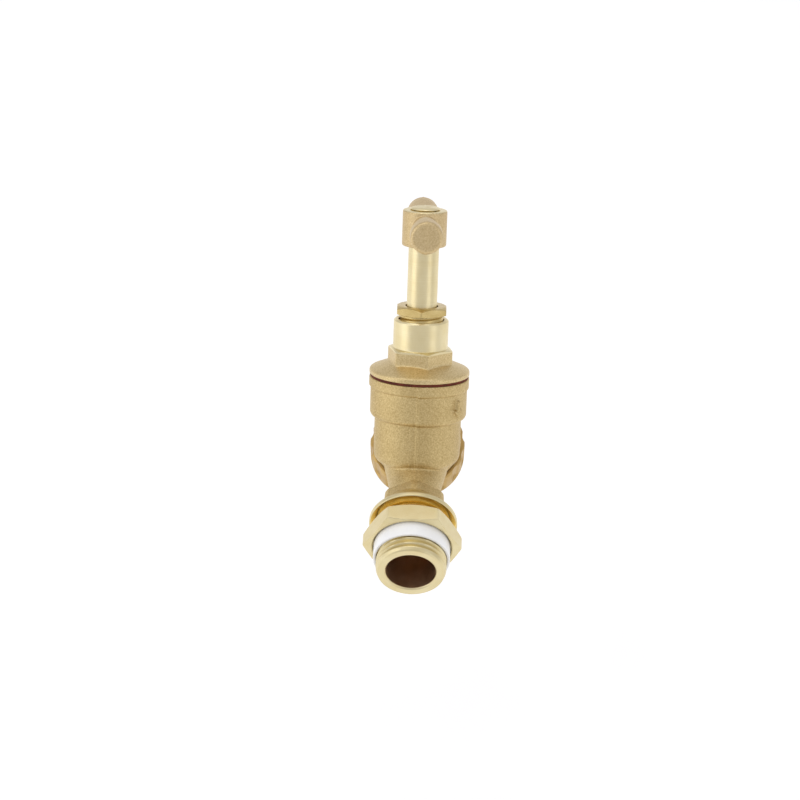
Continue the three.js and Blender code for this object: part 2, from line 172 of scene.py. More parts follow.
def shell(name, stations, axis, segments=96, start=0.0, closed=False, slots=None):
    """A closed surface about an axis. A station is (radius, height), each a number or one value
    for every facet angle. Stations run outward, up and in again; closed joins last to first."""
    angles = around(segments, start)
    vertices, rings = [], []
    for radius, height in stations:
        if np.ndim(radius) == 0 and radius == 0:
            rings.append([len(vertices)])
            vertices.append((0.0, 0.0, float(np.mean(height))))
            continue
        r = np.broadcast_to(radius, segments)
        h = np.broadcast_to(height, segments)
        rings.append(list(range(len(vertices), len(vertices) + segments)))
        vertices.extend(zip(r * np.cos(angles), r * np.sin(angles), h))
    pairs = list(zip(rings, rings[1:]))
    if closed:
        pairs.append((rings[-1], rings[0]))
    faces, face_slots = [], []
    for index, (low, high) in enumerate(pairs):
        slot = slots(index) if slots else 0
        for j in range(segments):
            k = (j + 1) % segments
            if len(low) == 1:
                faces.append((low[0], high[k], high[j]))
            elif len(high) == 1:
                faces.append((low[j], low[k], high[0]))
            else:
                faces.append((low[j], low[k], high[k], high[j]))
            face_slots.append(slot)
    mesh = bpy.data.meshes.new(name)
    mesh.from_pydata([axis @ Vector(v) for v in vertices], [], faces)
    mesh.polygons.foreach_set("material_index", face_slots)
    turn_out(mesh)
    return link(name, mesh)


def link(name, mesh):
    piece = bpy.data.objects.new(name, mesh)
    bpy.context.scene.collection.objects.link(piece)
    return piece


def turn_out(mesh):
    """Merges doubles and turns the faces out."""
    work = bmesh.new()
    work.from_mesh(mesh)
    bmesh.ops.remove_doubles(work, verts=work.verts, dist=1e-4)
    bmesh.ops.recalc_face_normals(work, faces=work.faces)
    work.to_mesh(mesh)
    work.free()


def finished(piece, sharp=35):
    """A drawn piece in metres, shaded smooth up to the sharp angle."""
    turn_out(piece.data)
    piece.data.transform(Matrix.Scale(MM, 4))
    piece.data.polygons.foreach_set("use_smooth", [True] * len(piece.data.polygons))
    piece.data.set_sharp_from_angle(angle=math.radians(sharp))
    return piece


def bake_modifiers(piece):
    """Replaces the piece's mesh by the one its modifiers make."""
    bpy.context.view_layer.update()
    graph = bpy.context.evaluated_depsgraph_get()
    mesh = bpy.data.meshes.new_from_object(piece.evaluated_get(graph))
    piece.modifiers.clear()
    piece.data = mesh
    return piece


def boolean(piece, tools, operation):
    """Joins the tools to the piece or cuts them out of it, and removes them."""
    for tool in tools:
        modifier = piece.modifiers.new(operation, "BOOLEAN")
        modifier.operation = operation
        modifier.solver = "MANIFOLD"
        modifier.object = tool
    bake_modifiers(piece)
    for tool in tools:
        bpy.data.objects.remove(tool)
    return piece


def as_casting(piece, voxel, rounds):
    """Gives a joined shape the soft corners and fillets of a casting."""
    remesh = piece.modifiers.new("skin", "REMESH")
    remesh.mode = "VOXEL"
    remesh.voxel_size = voxel
    smooth = piece.modifiers.new("soften", "SMOOTH")
    smooth.factor = 0.5
    smooth.iterations = rounds
    return bake_modifiers(piece)


def coordinates(mesh):
    co = np.empty(len(mesh.vertices) * 3)
    mesh.vertices.foreach_get("co", co)
    return co.reshape(-1, 3)


def in_axis(points, axis):
    """Points in the frame of an axis."""
    inverse = np.array(axis.inverted())
    return points @ inverse[:3, :3].T + inverse[:3, 3]


def from_axis(points, axis):
    forward = np.array(axis)
    return points @ forward[:3, :3].T + forward[:3, 3]


def smoothstep(low, high, value):
    t = np.clip((value - low) / (high - low), 0, 1)
    return t * t * (3 - 2 * t)


# ------------------------------------------------------------------ shape functions

def hex_radius(flats, segments, corner):
    """The radius of a hexagon at each facet angle, corners eased a little."""
    turn = np.mod(around(segments, corner) - math.radians(corner), math.pi / 3) - math.pi / 6
    sharp = flats / 2 / np.cos(turn)
    return np.minimum(sharp, flats / math.sqrt(3) * 0.993)


def bevel(flats, side, angle, step=0.12):
    """The radius and depth of a bevel's stations, from the end of the hexagon inwards."""
    if not angle:
        return [(side, 0.0)]
    slope = 1 / math.tan(math.radians(angle))
    steps = int((flats / math.sqrt(3) - flats / 2 + 0.35) / slope / step) + 2
    return [(np.minimum(side, flats / 2 - 0.15 + slope * step * i), step * i) for i in range(steps)]


def beveled_hex(flats, bottom, top, segments, corner, low_angle, high_angle):
    """Stations of a hexagon's side with bevels, whose edges curve as on a real nut."""
    side = hex_radius(flats, segments, corner)
    low = [(radius, bottom + depth) for radius, depth in bevel(flats, side, low_angle)]
    high = [(radius, top - depth) for radius, depth in bevel(flats, side, high_angle)]
    return low + high[::-1]


THREAD_ROWS = 12  # stations in one pitch


def thread(root, crest, bottom, top, segments, run_in=1.0, limit=None, smooth_from=1e3):
    """Stations of a right-hand pipe thread, faded in over run_in pitches from its foot, under a
    limit of radius for each height and with its grooves turned away from smooth_from on."""
    angles = around(segments)
    count = int(round((top - bottom) / PIPE_PITCH * THREAD_ROWS))
    stations = []
    for i in range(count + 1):
        height = bottom + (top - bottom) * i / count
        phase = np.mod((height - bottom) / PIPE_PITCH - angles / (2 * math.pi), 1.0)
        least = smoothstep(-0.2, 0.3, height - smooth_from)
        ridge = np.clip((1 - np.abs(2 * phase - 1) - 0.14) / 0.72, least, 1)
        fade = smoothstep(0, run_in * PIPE_PITCH, height - bottom)
        radius = root + (crest - root) * ridge * fade
        if limit:
            radius = np.minimum(radius, limit(height))
        stations.append((radius, height))
    return stations


def fluted(radius, segments):
    """A round radius with shallow flutes pressed in."""
    angles = around(segments)
    turn = np.mod(angles * FLUTES / (2 * math.pi), 1.0) - 0.5
    cup = np.clip(1 - (turn / (FLUTE_SHARE / 2)) ** 2, 0, 1)
    return radius - FLUTE_DEPTH * cup ** 0.8


# ------------------------------------------------------------------ materials

class Nodes:
    """A short way to write a material's node tree."""

    def __init__(self, name):
        self.material = bpy.data.materials.new(name)
        self.material.use_nodes = True
        self.tree = self.material.node_tree
        self.shader = self.tree.nodes["Principled BSDF"]
        coords = self.tree.nodes.new("ShaderNodeTexCoord")
        scaled = self.add("ShaderNodeVectorMath", {0: coords.outputs["Object"], 1: (1000,) * 3})
        scaled.operation = "MULTIPLY"
        self.place = scaled.outputs[0]

    def add(self, kind, inputs=None, **settings):
        node = self.tree.nodes.new(kind)
        for key, value in settings.items():
            setattr(node, key, value)
        for key, value in (inputs or {}).items():
            self.feed(node.inputs[key], value)
        return node

    def feed(self, socket, value):
        if isinstance(value, bpy.types.NodeSocket):
            self.tree.links.new(value, socket)
        else:
            socket.default_value = value

    def noise(self, scale, detail=2.0, roughness=0.5, place=None):
        node = self.add("ShaderNodeTexNoise", {
            "Vector": place or self.place, "Scale": scale, "Detail": detail, "Roughness": roughness})
        return node.outputs["Fac"]

    def math(self, operation, first, second):
        node = self.add("ShaderNodeMath", {0: first, 1: second}, operation=operation)
        return node.outputs[0]

    def spread(self, value, low, high, to_low=0.0, to_high=1.0):
        node = self.add("ShaderNodeMapRange", {
            "Value": value, "From Min": low, "From Max": high, "To Min": to_low, "To Max": to_high})
        return node.outputs[0]

    def mix(self, factor, first, second):
        node = self.add("ShaderNodeMix", data_type="RGBA")
        self.feed(node.inputs["Factor"], factor)
        self.feed(node.inputs["A"], first)
        self.feed(node.inputs["B"], second)
        return node.outputs["Result"]

    def vector(self, operation, first, second, output="Vector"):
        node = self.add("ShaderNodeVectorMath", {0: first, 1: second}, operation=operation)
        return node.outputs[output]

    def about(self, axis):
        """The height along an axis and the distance from it, in millimetres."""
        direction = tuple(axis.to_3x3() @ Vector((0, 0, 1)))
        from_foot = self.vector("SUBTRACT", self.place, tuple(axis.translation))
        height = self.vector("DOT_PRODUCT", from_foot, direction, "Value")
        across = self.vector("CROSS_PRODUCT", from_foot, direction)
        away = self.vector("LENGTH", across, (0, 0, 0), "Value")
        return height, away

    def bump(self, height, strength, distance):
        inputs = {"Height": height, "Strength": strength, "Distance": distance * MM}
        return self.add("ShaderNodeBump", inputs).outputs["Normal"]

    def finish(self, **values):
        for key, value in values.items():
            self.feed(self.shader.inputs[key.replace("_", " ").title()], value)
        return self.material


def rgb(red, green, blue):
    """An sRGB colour, 0 to 255, as the linear colour that a shader takes."""
    def linear(value):
        value /= 255
        return value / 12.92 if value <= 0.04045 else ((value + 0.055) / 1.055) ** 2.4
    return (linear(red), linear(green), linear(blue), 1.0)


def cast_brass(name, light, dark, roughness=0.5, grain=1.0):
    """Shot-blasted brass: a fine pitted grain with faint patches of colour."""
    n = Nodes(name)
    patches = n.noise(0.12, 2.0)
    grains = n.noise(2.2, 2.0, 0.6)
    pits = n.noise(4.5, 2.0, 0.6)
    tone = n.math("ADD", n.math("MULTIPLY", patches, 0.2), n.math("MULTIPLY", grains, 0.8))
    color = n.mix(n.spread(tone, 0.34, 0.66), dark, light)
    rough = n.spread(pits, 0.3, 0.7, roughness - 0.06, roughness + 0.08)
    height = n.math("ADD", grains, n.math("MULTIPLY", pits, 0.7))
    normal = n.bump(height, 0.5 * grain, 0.12)
    return n.finish(metallic=1.0, base_color=color, roughness=rough, normal=normal)


RING_SCALE = 2.2


def turned_brass(name, light, dark, axis, roughness=0.34, rings=0.5):
    """Brass off the lathe: fine rings about the axis under a bright skin."""
    n = Nodes(name)
    height, away = n.about(axis)
    ring_place = n.add("ShaderNodeCombineXYZ", {
        "X": n.math("MULTIPLY", height, RING_SCALE), "Y": n.math("MULTIPLY", away, RING_SCALE)}).outputs[0]
    ring_noise = n.noise(3.0, 3.0, 0.7, ring_place)
    patches = n.noise(0.2, 2.0)
    tone = n.math("ADD", n.math("MULTIPLY", ring_noise, 0.5), n.math("MULTIPLY", patches, 0.5))
    color = n.mix(n.spread(tone, 0.35, 0.65), dark, light)
    rough = n.spread(n.noise(0.5, 4.0, 0.6), 0.3, 0.7, roughness - 0.05, roughness + 0.07)
    normal = n.bump(ring_noise, rings * 0.35, 0.03)
    return n.finish(metallic=1.0, base_color=color, roughness=rough, normal=normal)


def dull(name, light, dark, roughness, grain_scale, strength, metallic=0.0):
    """A plain look, of metal or not: two close tones and a light grain."""
    n = Nodes(name)
    color = n.mix(n.spread(n.noise(grain_scale * 0.3, 3.0), 0.35, 0.65), dark, light)
    grain = n.noise(grain_scale, 3.0)
    rough = n.spread(grain, 0.3, 0.7, roughness - 0.05, roughness + 0.05)
    normal = n.bump(grain, strength, 0.05)
    return n.finish(metallic=metallic, base_color=color, roughness=rough, normal=normal)


CAST_LIGHT, CAST_DARK = rgb(220, 198, 146), rgb(186, 161, 108)
TURNED_LIGHT, TURNED_DARK = rgb(238, 225, 184), rgb(228, 211, 162)

materials = {
    "cast": cast_brass("cast_brass", CAST_LIGHT, CAST_DARK),
    # bonnet: finer grain and lower roughness than the body, and a lighter colour that is painted light,
    # standing for the light its flange and hexagon catch
    "bonnet": cast_brass("bonnet_lit_cast_brass", rgb(230, 209, 160), rgb(198, 174, 123), 0.42, 0.5),
    "handle": cast_brass("handle_cast_brass", rgb(222, 200, 156), rgb(198, 174, 128), 0.46, 0.3),
    "stem": turned_brass("stem_turned_brass", TURNED_LIGHT, TURNED_DARK, STEM),
    # inlet: painted shade, the turned brass made a little darker for the tail and backnut
    "inlet": turned_brass("inlet_shaded_turned_brass", rgb(229, 216, 174), rgb(219, 202, 152), INLET),
    "outlet": turned_brass("outlet_turned_brass", TURNED_LIGHT, TURNED_DARK, OUTLET),
    # polish: the faced flange front, smoother than the turned brass; its deeper gold is a painted reflection
    # of the light bouncing between the flange and the backnut
    "polish": turned_brass("polished_flange_brass_painted_reflection", rgb(240, 211, 134), rgb(226, 194, 114), INLET, 0.2, 0.6),
    "bore": dull("bore_brass", rgb(218, 188, 158), rgb(202, 168, 134), 0.4, 0.5, 0.05, 1.0),
    "fibre": dull("red_fibre", rgb(112, 50, 28), rgb(84, 34, 20), 0.9, 2.0, 0.3),
    "rubber": dull("black_rubber", rgb(38, 38, 40), rgb(24, 24, 26), 0.65, 1.5, 0.2),
    "gland": turned_brass("gland_nut_brass", rgb(218, 196, 140), rgb(190, 165, 104), STEM, 0.3),
    "union": turned_brass("union_turned_brass", rgb(204, 174, 116), rgb(178, 146, 88), OUTLET, 0.42),
    "graphite": dull("graphite_packing", rgb(70, 70, 74), rgb(46, 46, 50), 0.55, 3.0, 0.4),
    "white": dull("white_washer", rgb(255, 255, 253), rgb(250, 250, 250), 0.35, 0.6, 0.06),
}


def place(piece, body, slot, looks, replaced=()):
    """Rides a piece on its body with its materials, standing for the CAD nodes it replaces."""
    slots = [min(face.material_index, len(looks) - 1) for face in piece.data.polygons]
    piece.data.materials.clear()
    for look in looks:
        piece.data.materials.append(materials[look])
    piece.data.polygons.foreach_set("material_index", slots)
    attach(piece, body)
    if replaced:
        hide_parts(*replaced)
    return piece


# ------------------------------------------------------------------ the cast body

PARTING_WIDTH, PARTING_RISE, BAR_SEAM_RISE = 0.3, 0.2, 0.12
CAST_VOXEL = 0.24


def body_casting():
    """Barrel, bowl, inlet branch and outlet branch, hollow inside, with a casting's skin."""
    barrel = shell("tap_body_casting", [
        (0, BARREL_BOTTOM),
        *arc(BARREL_RADIUS - 3.4, BARREL_BOTTOM + 3.4, 3.4, -90, 0),
        (BARREL_RADIUS, BAND_BOTTOM),
        *arc(BARREL_RADIUS, BAND_BOTTOM + 1.5, BAND_RADIUS - BARREL_RADIUS, -85, 0),
        (BAND_RADIUS, 23.9),
        (BAND_RADIUS - 0.2, 24.5),
        (RIM_RADIUS, 24.9),
        (RIM_RADIUS, BODY_TOP),
        (0, BODY_TOP),
    ], STEM)
    bowl = shell("bowl", [(0, -BOWL_RADIUS), *arc(0, 0, BOWL_RADIUS, -84, 84, 20), (0, BOWL_RADIUS)], STEM)
    reach = (INLET.inverted() @ STEM.translation).z
    branch = shell("branch", [
        (0, reach), (9.2, reach), (9.2, -22), (BRANCH_RADIUS, -15.5), (BRANCH_RADIUS, COLLAR_START + 0.5),
        (0, COLLAR_START + 0.5)], INLET)
    spout = shell("spout", [
        (0, 6), (11.6, 6), (12.2, 14), (SHOULDER_RADIUS - 0.3, 20), (SHOULDER_RADIUS, 20.6),
        (SHOULDER_RADIUS, SHOULDER_TOP), (0, SHOULDER_TOP)], OUTLET)
    casting = boolean(barrel, [bowl, branch, spout], "UNION")

    chamber = shell("chamber", [
        (0, SEAT_HEIGHT), (7.6, SEAT_HEIGHT), (8.2, CHAMBER_FLOOR), (CHAMBER_RADIUS, CHAMBER_FLOOR),
        (CHAMBER_RADIUS, 19.3), (BONNET_BORE, 19.6), (BONNET_BORE, BODY_TOP + 2), (0, BODY_TOP + 2)], STEM)
    seat = shell("seat", [(0, -1), (SEAT_BORE, -1), (SEAT_BORE, 7), (0, 7)], STEM)
    sump_radius = SEAT_BORE + 0.25
    sump = shell("sump", [(0, -sump_radius), *arc(0, 0, sump_radius, -84, 84, 16), (0, sump_radius)], STEM)
    inlet_bore = shell("inlet_bore", [(0, reach), (BRANCH_BORE, reach), (BRANCH_BORE, 0), (0, 0)], INLET)
    port_frame = STEM @ Matrix.Translation((0, 0, 9.9)) @ Matrix.Rotation(math.pi / 2, 4, "X")
    port = shell("port", [(0, 8.2), (4.6, 8.2), (4.6, 13.2), (0, 13.2)], port_frame)
    passage = shell("passage", [(0, 14), (5, 14), (5, 22.5), (5.9, 24), (0, 24)], OUTLET)
    boolean(casting, [chamber, seat, sump, inlet_bore, port, passage], "DIFFERENCE")
    as_casting(casting, CAST_VOXEL, 3)
    press_casting_marks(casting)
    return finished(casting, 60)


def press_casting_marks(casting):
    """The mould's parting line, the slight step between its halves and a raised flow arrow."""
    mesh = casting.data
    stem = in_axis(coordinates(mesh), STEM)
    radius = np.hypot(stem[:, 0], stem[:, 1])
    outside = (radius > 12.3) & (stem[:, 2] < BODY_TOP - 0.6)
    ridge = np.exp(-(stem[:, 0] / PARTING_WIDTH) ** 2) * PARTING_RISE
    half = smoothstep(-0.2, 0.2, -stem[:, 0]) * 0.24 - 0.12
    outward = stem[:, :2] / np.maximum(radius, 1e-6)[:, None]
    lift = ridge + arrow_height(stem)
    stem[:, :2] += outward * (lift * outside)[:, None]
    stem[:, 2] -= half * outside * (stem[:, 2] > 10) * (stem[:, 2] < 26)
    mesh.vertices.foreach_set("co", from_axis(stem, STEM).ravel())


ARROW_TURN, ARROW_HEIGHT, ARROW_RISE = 143.0, 20.2, 0.95


def arrow_height(stem):
    """How far each point of the band is raised by the flow arrow, in mm."""
    angle = np.degrees(np.arctan2(stem[:, 1], stem[:, 0]))
    across = np.radians(angle - ARROW_TURN) * BAND_RADIUS
    up = stem[:, 2] - ARROW_HEIGHT
    shaft = np.maximum(np.abs(across) - 0.6, np.abs(up - 0.9) - 1.6)
    head = np.maximum(np.abs(across) - 0.8 * (up + 2.7), up + 0.3)
    return ARROW_RISE * (1 - smoothstep(-0.15, 0.3, np.minimum(shaft, head)))


LEAD_IN = TAIL_END - 1.5
TAIL_COLLAR_SIDE, TAIL_COLLAR_CORNER = 8.85, 9.75


def tail_limit(height):
    """The turned lead-in cone at the tip of the tail."""
    return TAIL_CREST - max(0.0, height - LEAD_IN) * 0.4 - 0.02


def inlet_tail():
    """The turned part of the body: collar, flange, G 1/2 thread and the open bore."""
    segments = 192
    from_flat = np.mod(around(segments, 90), math.pi / 3) - math.pi / 6
    collar = np.minimum(TAIL_COLLAR_SIDE / np.cos(from_flat), TAIL_COLLAR_CORNER)
    outline = [
        (BRANCH_BORE, COLLAR_START),
        (collar - 0.45, COLLAR_START),
        (collar - 0.12, COLLAR_START + 0.1),
        (collar, COLLAR_START + 0.4),
        (collar + 0.15, -6.6),
        (collar * 0.5 + 4.95, -5.8),
    ]
    collar_end = len(outline) - 1
    outline += soften([
        (10.05, -5.2),
        (10.7, -4.2),
        (12.95, -FLANGE_THICKNESS - 0.35),
        (FLANGE_RADIUS, -FLANGE_THICKNESS),
        (FLANGE_RADIUS, -0.2),
        (FLANGE_RADIUS - 0.2, 0.0),
        (UNDERCUT_RADIUS, 0.0),
        (UNDERCUT_RADIUS, -0.5),
        (TAIL_ROOT - 0.1, -0.5),
        (TAIL_ROOT - 0.1, THREAD_START - 0.1),
    ], 0.18)
    threads = thread(
        TAIL_ROOT, TAIL_CREST, THREAD_START, TAIL_END - 0.25, segments, 1.0, tail_limit, LEAD_IN)
    tip = soften([
        (tail_limit(TAIL_END - 0.25), TAIL_END - 0.25),
        (TAIL_FACE_RADIUS - 0.15, TAIL_END),
        (TAIL_BORE + 0.45, TAIL_END),
        (TAIL_BORE, TAIL_END - 0.45),
        (TAIL_BORE, 0.0),
        (TAIL_BORE, -1.0),
        (BRANCH_BORE, -3.0),
        (BRANCH_BORE, COLLAR_START),
    ], 0.18)[1:]
    in_bore = next(i for i, (radius, height) in enumerate(tip) if radius < TAIL_BORE + 0.05)
    bore_start = len(outline) + len(threads) + in_bore
    face_start = next(i for i, (radius, height) in enumerate(outline) if abs(height) < 1e-6)

    def slot(index):
        if index >= bore_start:
            return 1
        if index < collar_end:
            return 3
        # slot 2 takes the polish material, whose deeper gold is a painted reflection on the flange's front
        # face
        return 2 if face_start <= index < len(outline) else 0

    piece = shell("inlet_tail", outline + threads + tip, INLET, segments, closed=True, slots=slot)
    return finished(piece, 40)


def outlet_spigot():
    """The G 3/4 thread that the union nut screws on to."""
    segments = 192
    low = SHOULDER_TOP - 0.4
    start = [(5.0, low), (SPIGOT_ROOT, low)]
    threads = thread(SPIGOT_ROOT, SPIGOT_CREST, low + 0.1, SPIGOT_END - 0.3, segments, 0.6)
    end = soften([
        (SPIGOT_ROOT - 0.1, SPIGOT_END - 0.25), (SPIGOT_ROOT - 0.4, SPIGOT_END), (8.0, SPIGOT_END),
        (8.0, 25.0), (6.0, 23.4), (5.0, low)], 0.15)[1:]
    return finished(shell("outlet_spigot", start + threads + end, OUTLET, segments, closed=True), 40)


# ------------------------------------------------------------------ the headgear

def gasket():
    outline = soften([
        (BONNET_BORE, BODY_TOP - 0.02), (GASKET_RADIUS, BODY_TOP - 0.02),
        (GASKET_RADIUS, FLANGE_SEAT + 0.02), (BONNET_BORE, FLANGE_SEAT + 0.02)], 0.15)
    return finished(shell("fibre_gasket", outline, STEM, closed=True))


def bonnet():
    """Flange and hexagon as forged, neck turned bright, hollow for the spindle and packing."""
    segments = 192
    side = hex_radius(BONNET_FLATS, segments, BONNET_TURN)
    shank = soften([(6.5, BONNET_BOTTOM), (11.2, BONNET_BOTTOM), (11.6, BONNET_BOTTOM + 0.4),
                    (11.6, FLANGE_SEAT)], 0.15)
    lip, lip_top = RIM_RADIUS - 0.4, 30.4
    flange = soften([(11.6, FLANGE_SEAT), (RIM_RADIUS, FLANGE_SEAT), (RIM_RADIUS, 30.0),
                     (lip, lip_top), (12.2, 31.5)], 0.3)[1:]
    cone = (lip - side) / (lip - BONNET_FLATS / 2)
    foot = lip_top + (HEX_BASE - lip_top) * cone
    fillet = [(side + 0.55, foot - 0.12), (side + 0.22, foot + 0.03), (side + 0.06, foot + 0.2),
              (side, foot + 0.45)]
    hexagon = beveled_hex(BONNET_FLATS, 34.0, HEX_TOP, segments, BONNET_TURN, 0, 20)
    neck = soften([(NECK_RADIUS + 0.35, HEX_TOP), (NECK_RADIUS, HEX_TOP + 0.15),
                   (NECK_RADIUS, NECK_TOP - 0.55), (NECK_RADIUS - 0.55, NECK_TOP),
                   (7.15, NECK_TOP), (6.95, NECK_TOP - 0.3)], 0.12)
    inside = [(6.95, 42.4), (6.3, 42.3), (6.3, 36.6),
              (PACKING_BORE, 36.6), (PACKING_BORE, 34.3), (6.5, 34.3)]
    stations = shank + flange + fillet + hexagon + neck + inside
    bright = len(shank + flange + fillet) + 1
    piece = shell("bonnet_headgear", stations, STEM, segments, BONNET_TURN, closed=True,
                  slots=lambda index: 1 if index >= bright else 0)
    return finished(piece, 32)


def gland_nut():
    segments = 192
    shank = thread(6.45, 6.7, GLAND_BOTTOM, GLAND_HEX_BASE - 0.05, segments, 0.5)
    start = [(4.95, GLAND_BOTTOM), (6.4, GLAND_BOTTOM)]
    head = beveled_hex(GLAND_FLATS, GLAND_HEX_BASE, GLAND_TOP, segments, GLAND_TURN, 15, 30)
    top = soften([(5.5, GLAND_TOP), (4.95, GLAND_TOP), (4.95, GLAND_TOP - 0.4), (4.95, GLAND_BOTTOM)], 0.3)
    stations = start + shank + head + top[:-1]
    piece = shell("gland_nut_turned", stations, STEM, segments, GLAND_TURN, closed=True)
    return finished(piece, 32)


def spindle():
    """The turned shaft and its squared end, riveted over into a dome."""
    shaft = shell("spindle_turned", soften([
        (0, 23.2), (3.15, 23.2), (3.15, SPINDLE_FOOT), (5.2, SPINDLE_FOOT), (5.4, 12.3), (5.4, 15),
        (6.2, 15.8), (6.2, 27.2), (SPINDLE_RADIUS, 28.2), (SPINDLE_RADIUS, HUB_BOTTOM - CAD_GAP),
        (0, HUB_BOTTOM - CAD_GAP),
    ], 0.15), STEM)
    square = shell("square", [
        (0, HUB_BOTTOM - 1), (SQUARE_HALF * math.sqrt(2), HUB_BOTTOM - 1),
        (SQUARE_HALF * math.sqrt(2), HUB_TOP + 0.6), (0, HUB_TOP + 0.6)], STEM, 4, 45)
    return finished(boolean(shaft, [square, dome()], "UNION"), 35)


DOME_RADIUS = 4.6


def dome():
    """The riveted end: a low dome with the dents of the riveting tool."""
    segments = 72
    angles = around(segments)
    base = HUB_TOP + 0.02
    stations = [(0, base), (DOME_RADIUS - 0.3, base), (DOME_RADIUS, base + 0.25)]
    steps = 9
    for i in range(steps):
        share = i / steps
        radius = (DOME_RADIUS - 0.08) * math.cos(share * math.pi / 2)
        dents = 0.07 * np.sin(3 * angles + 1.3 + share) + 0.05 * np.sin(5 * angles + 4 * share)
        height = base + 0.3 + (SPINDLE_TOP - base - 0.35) * math.sin(share * math.pi / 2)
        stations.append((radius * (1 + 0.02 * np.sin(4 * angles)), height + dents * share))
    stations.append((0, SPINDLE_TOP - 0.06))
    return shell("dome", stations, STEM, segments)


def crutch_handle():
    """Hub and bar in one forging, joined by fillets."""
    hub = shell("crutch_handle_forged", soften([
        (0, HUB_BOTTOM), (HUB_RADIUS, HUB_BOTTOM), (HUB_RADIUS, HUB_TOP), (0, HUB_TOP)], 0.5), STEM, 128)
    bar_frame = (STEM @ Matrix.Translation((0, 0, BAR_HEIGHT))
                 @ Matrix.Rotation(math.radians(BAR_TURN + 90), 4, "Z")
                 @ Matrix.Rotation(math.pi / 2, 4, "X"))
    bar = shell("bar", [
        (0, -BAR_HALF),
        *arc(BAR_END - BAR_ROUNDING, -BAR_HALF + BAR_ROUNDING, BAR_ROUNDING, -90, 0),
        (BAR_END, -BAR_HALF + 6), (BAR_WAIST, -7), (BAR_WAIST, 7), (BAR_END, BAR_HALF - 6),
        *arc(BAR_END - BAR_ROUNDING, BAR_HALF - BAR_ROUNDING, BAR_ROUNDING, 0, 90),
        (0, BAR_HALF),
    ], bar_frame, 64)
    hole_radius = (SQUARE_HALF + CAD_GAP) * math.sqrt(2)
    hole = shell("hole", [(0, 60), (hole_radius, 60), (hole_radius, 85), (0, 85)], STEM, 4, 45)
    handle = boolean(hub, [bar], "UNION")
    as_casting(handle, CAST_VOXEL, 5)
    raise_bar_seam(handle, bar_frame)
    boolean(handle, [hole], "DIFFERENCE")
    finished(handle, 50)
    mark_hub_top(handle)
    return handle


def raise_bar_seam(handle, bar_frame):
    """Raises the forging's seam along the bar and over its two ends."""
    points = in_axis(coordinates(handle.data), bar_frame)
    away = np.hypot(points[:, 0], points[:, 1])
    along = np.abs(points[:, 2])
    seam = np.exp(-(points[:, 0] / PARTING_WIDTH) ** 2) * BAR_SEAM_RISE * (along > HUB_RADIUS + 1)
    points[:, 1] *= 1 + seam / np.maximum(away, 1)
    points[:, 2] += np.sign(points[:, 2]) * seam * (along > BAR_HALF - 0.5)
    handle.data.vertices.foreach_set("co", from_axis(points, bar_frame).ravel())


def mark_hub_top(handle):
    """Puts the hub's flat top in the second material slot."""
    up = STEM.to_3x3() @ Vector((0, 0, 1))
    to_stem = STEM.inverted()
    for face in handle.data.polygons:
        place_on_stem = to_stem @ (face.center / MM)
        on_hub = place_on_stem.z > HUB_TOP - 0.35 and place_on_stem.xy.length < HUB_RADIUS
        face.material_index = int(on_hub and face.normal.dot(up) > 0.6)


# ------------------------------------------------------------------ inlet and outlet fittings

def backnut():
    segments = 192
    side = beveled_hex(BACKNUT_FLATS, BACKNUT_NEAR, BACKNUT_FAR, segments, 0, 30, 20)
    recess = WASHER_NEAR - CAD_GAP
    inside = soften([
        (WASHER_RADIUS + 0.7, BACKNUT_FAR), (WASHER_RADIUS + 0.3, BACKNUT_FAR - 0.3),
        (WASHER_RADIUS + 0.3, recess), (TAIL_CREST + 0.3, recess),
        (TAIL_CREST + 0.3, BACKNUT_NEAR + 0.4), (TAIL_CREST + 0.7, BACKNUT_NEAR)], 0.15)
    return finished(shell("backnut_turned", side + inside, INLET, segments, closed=True), 32)


def tail_washer():
    outline = soften([
        (TAIL_CREST + 0.05, WASHER_NEAR - 0.25), (WASHER_RADIUS, WASHER_NEAR - 0.25),
        (WASHER_RADIUS, WASHER_FAR), (TAIL_CREST + 0.05, WASHER_FAR),
        (TAIL_CREST + 0.05, WASHER_NEAR - 0.25),
    ], 0.3)
    return finished(shell("white_tail_washer", outline[:-1], INLET, 128, closed=True), 50)


def union_nut():
    segments = FLUTES * 20
    flute_end = UNION_FAR - 2.4
    low = soften([(SPIGOT_CREST + 0.3, UNION_NEAR), (UNION_RADIUS - 0.6, UNION_NEAR)], 0.1)
    stations = list(low)
    for share in (0.0, 0.35, 0.7, 1.0):
        edge = UNION_RADIUS - 0.6 * (1 - math.sin(share * math.pi / 2))
        stations.append((np.minimum(edge, fluted(UNION_RADIUS, segments)), UNION_NEAR + 0.6 * share))
    stations.append((fluted(UNION_RADIUS, segments), flute_end - 0.5))
    for share in (0.25, 0.5, 0.75, 1.0):
        radius = fluted(UNION_RADIUS, segments) * (1 - share) + UNION_RADIUS * share
        stations.append((radius, flute_end - 0.5 + 0.5 * share))
    stations += soften([
        (UNION_RADIUS, flute_end + 0.1), (UNION_RADIUS, UNION_FAR - UNION_CHAMFER),
        (UNION_RADIUS - UNION_CHAMFER, UNION_FAR), (8.2, UNION_FAR), (8.2, 33.0),
        (SPIGOT_CREST + 0.3, 33.0), (SPIGOT_CREST + 0.3, UNION_NEAR)], 0.2)[:-1]
    return finished(shell("union_nut_fluted", stations, OUTLET, segments, closed=True), 32)


